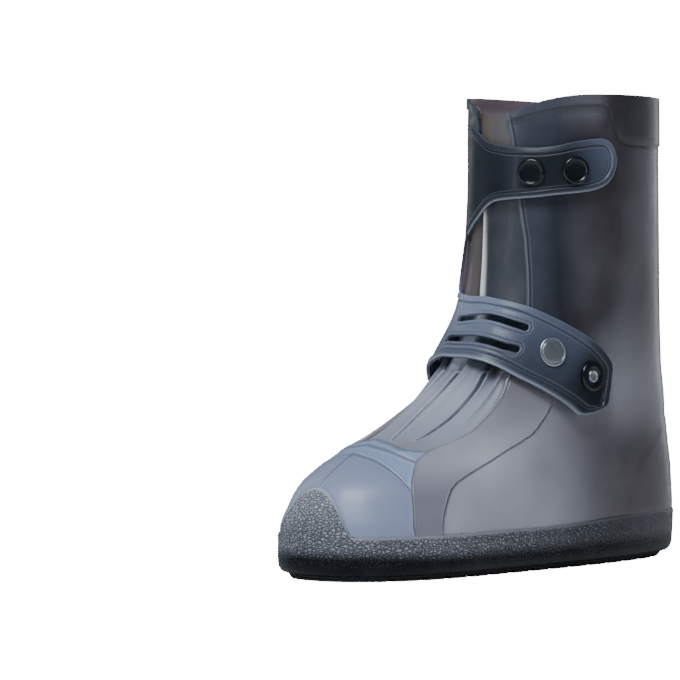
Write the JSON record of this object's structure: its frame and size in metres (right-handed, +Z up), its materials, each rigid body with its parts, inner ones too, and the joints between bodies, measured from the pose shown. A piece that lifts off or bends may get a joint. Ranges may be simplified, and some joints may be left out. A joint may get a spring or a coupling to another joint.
{
  "type": "rain shoe cover",
  "caption": "High moulded rubber rain cover worn over a left shoe, with a pleated front gusset, snap straps and a grooved sole.",
  "frame": {"origin": "on the ground under the tread, midway across it and near mid length, on the tread's flat middle rib", "axes": "+Z up the shaft, -Y towards the toe, +X towards the outer side of the left foot, where the straps snap shut"},
  "size_m": [0.1084, 0.2997, 0.268],
  "materials": {
    "tread_rubber": "dark grooved rubber, slightly satin",
    "sole_rubber": "pebble-grained smoky rubber, satin",
    "upper_rubber": "smoky translucent rubber, smooth satin",
    "gusset_rubber": "thin smoky rubber, smooth, pleated",
    "strap_rubber": "smoky blue-grey rubber, smooth satin",
    "snap_black": "black cap, bare",
    "snap_steel": "grey metal cap with a ring, bare"
  },
  "bodies": {
    "root": {"tread": "tread_rubber", "sole": "sole_rubber", "upper": "upper_rubber", "gusset": "gusset_rubber", "upper_strap": "strap_rubber", "lower_strap": "strap_rubber", "upper_snap_front": "snap_black", "upper_snap_rear": "snap_black", "lower_snap_front": "snap_steel", "lower_snap_rear": "snap_black"}
  },
  "joints": []
}
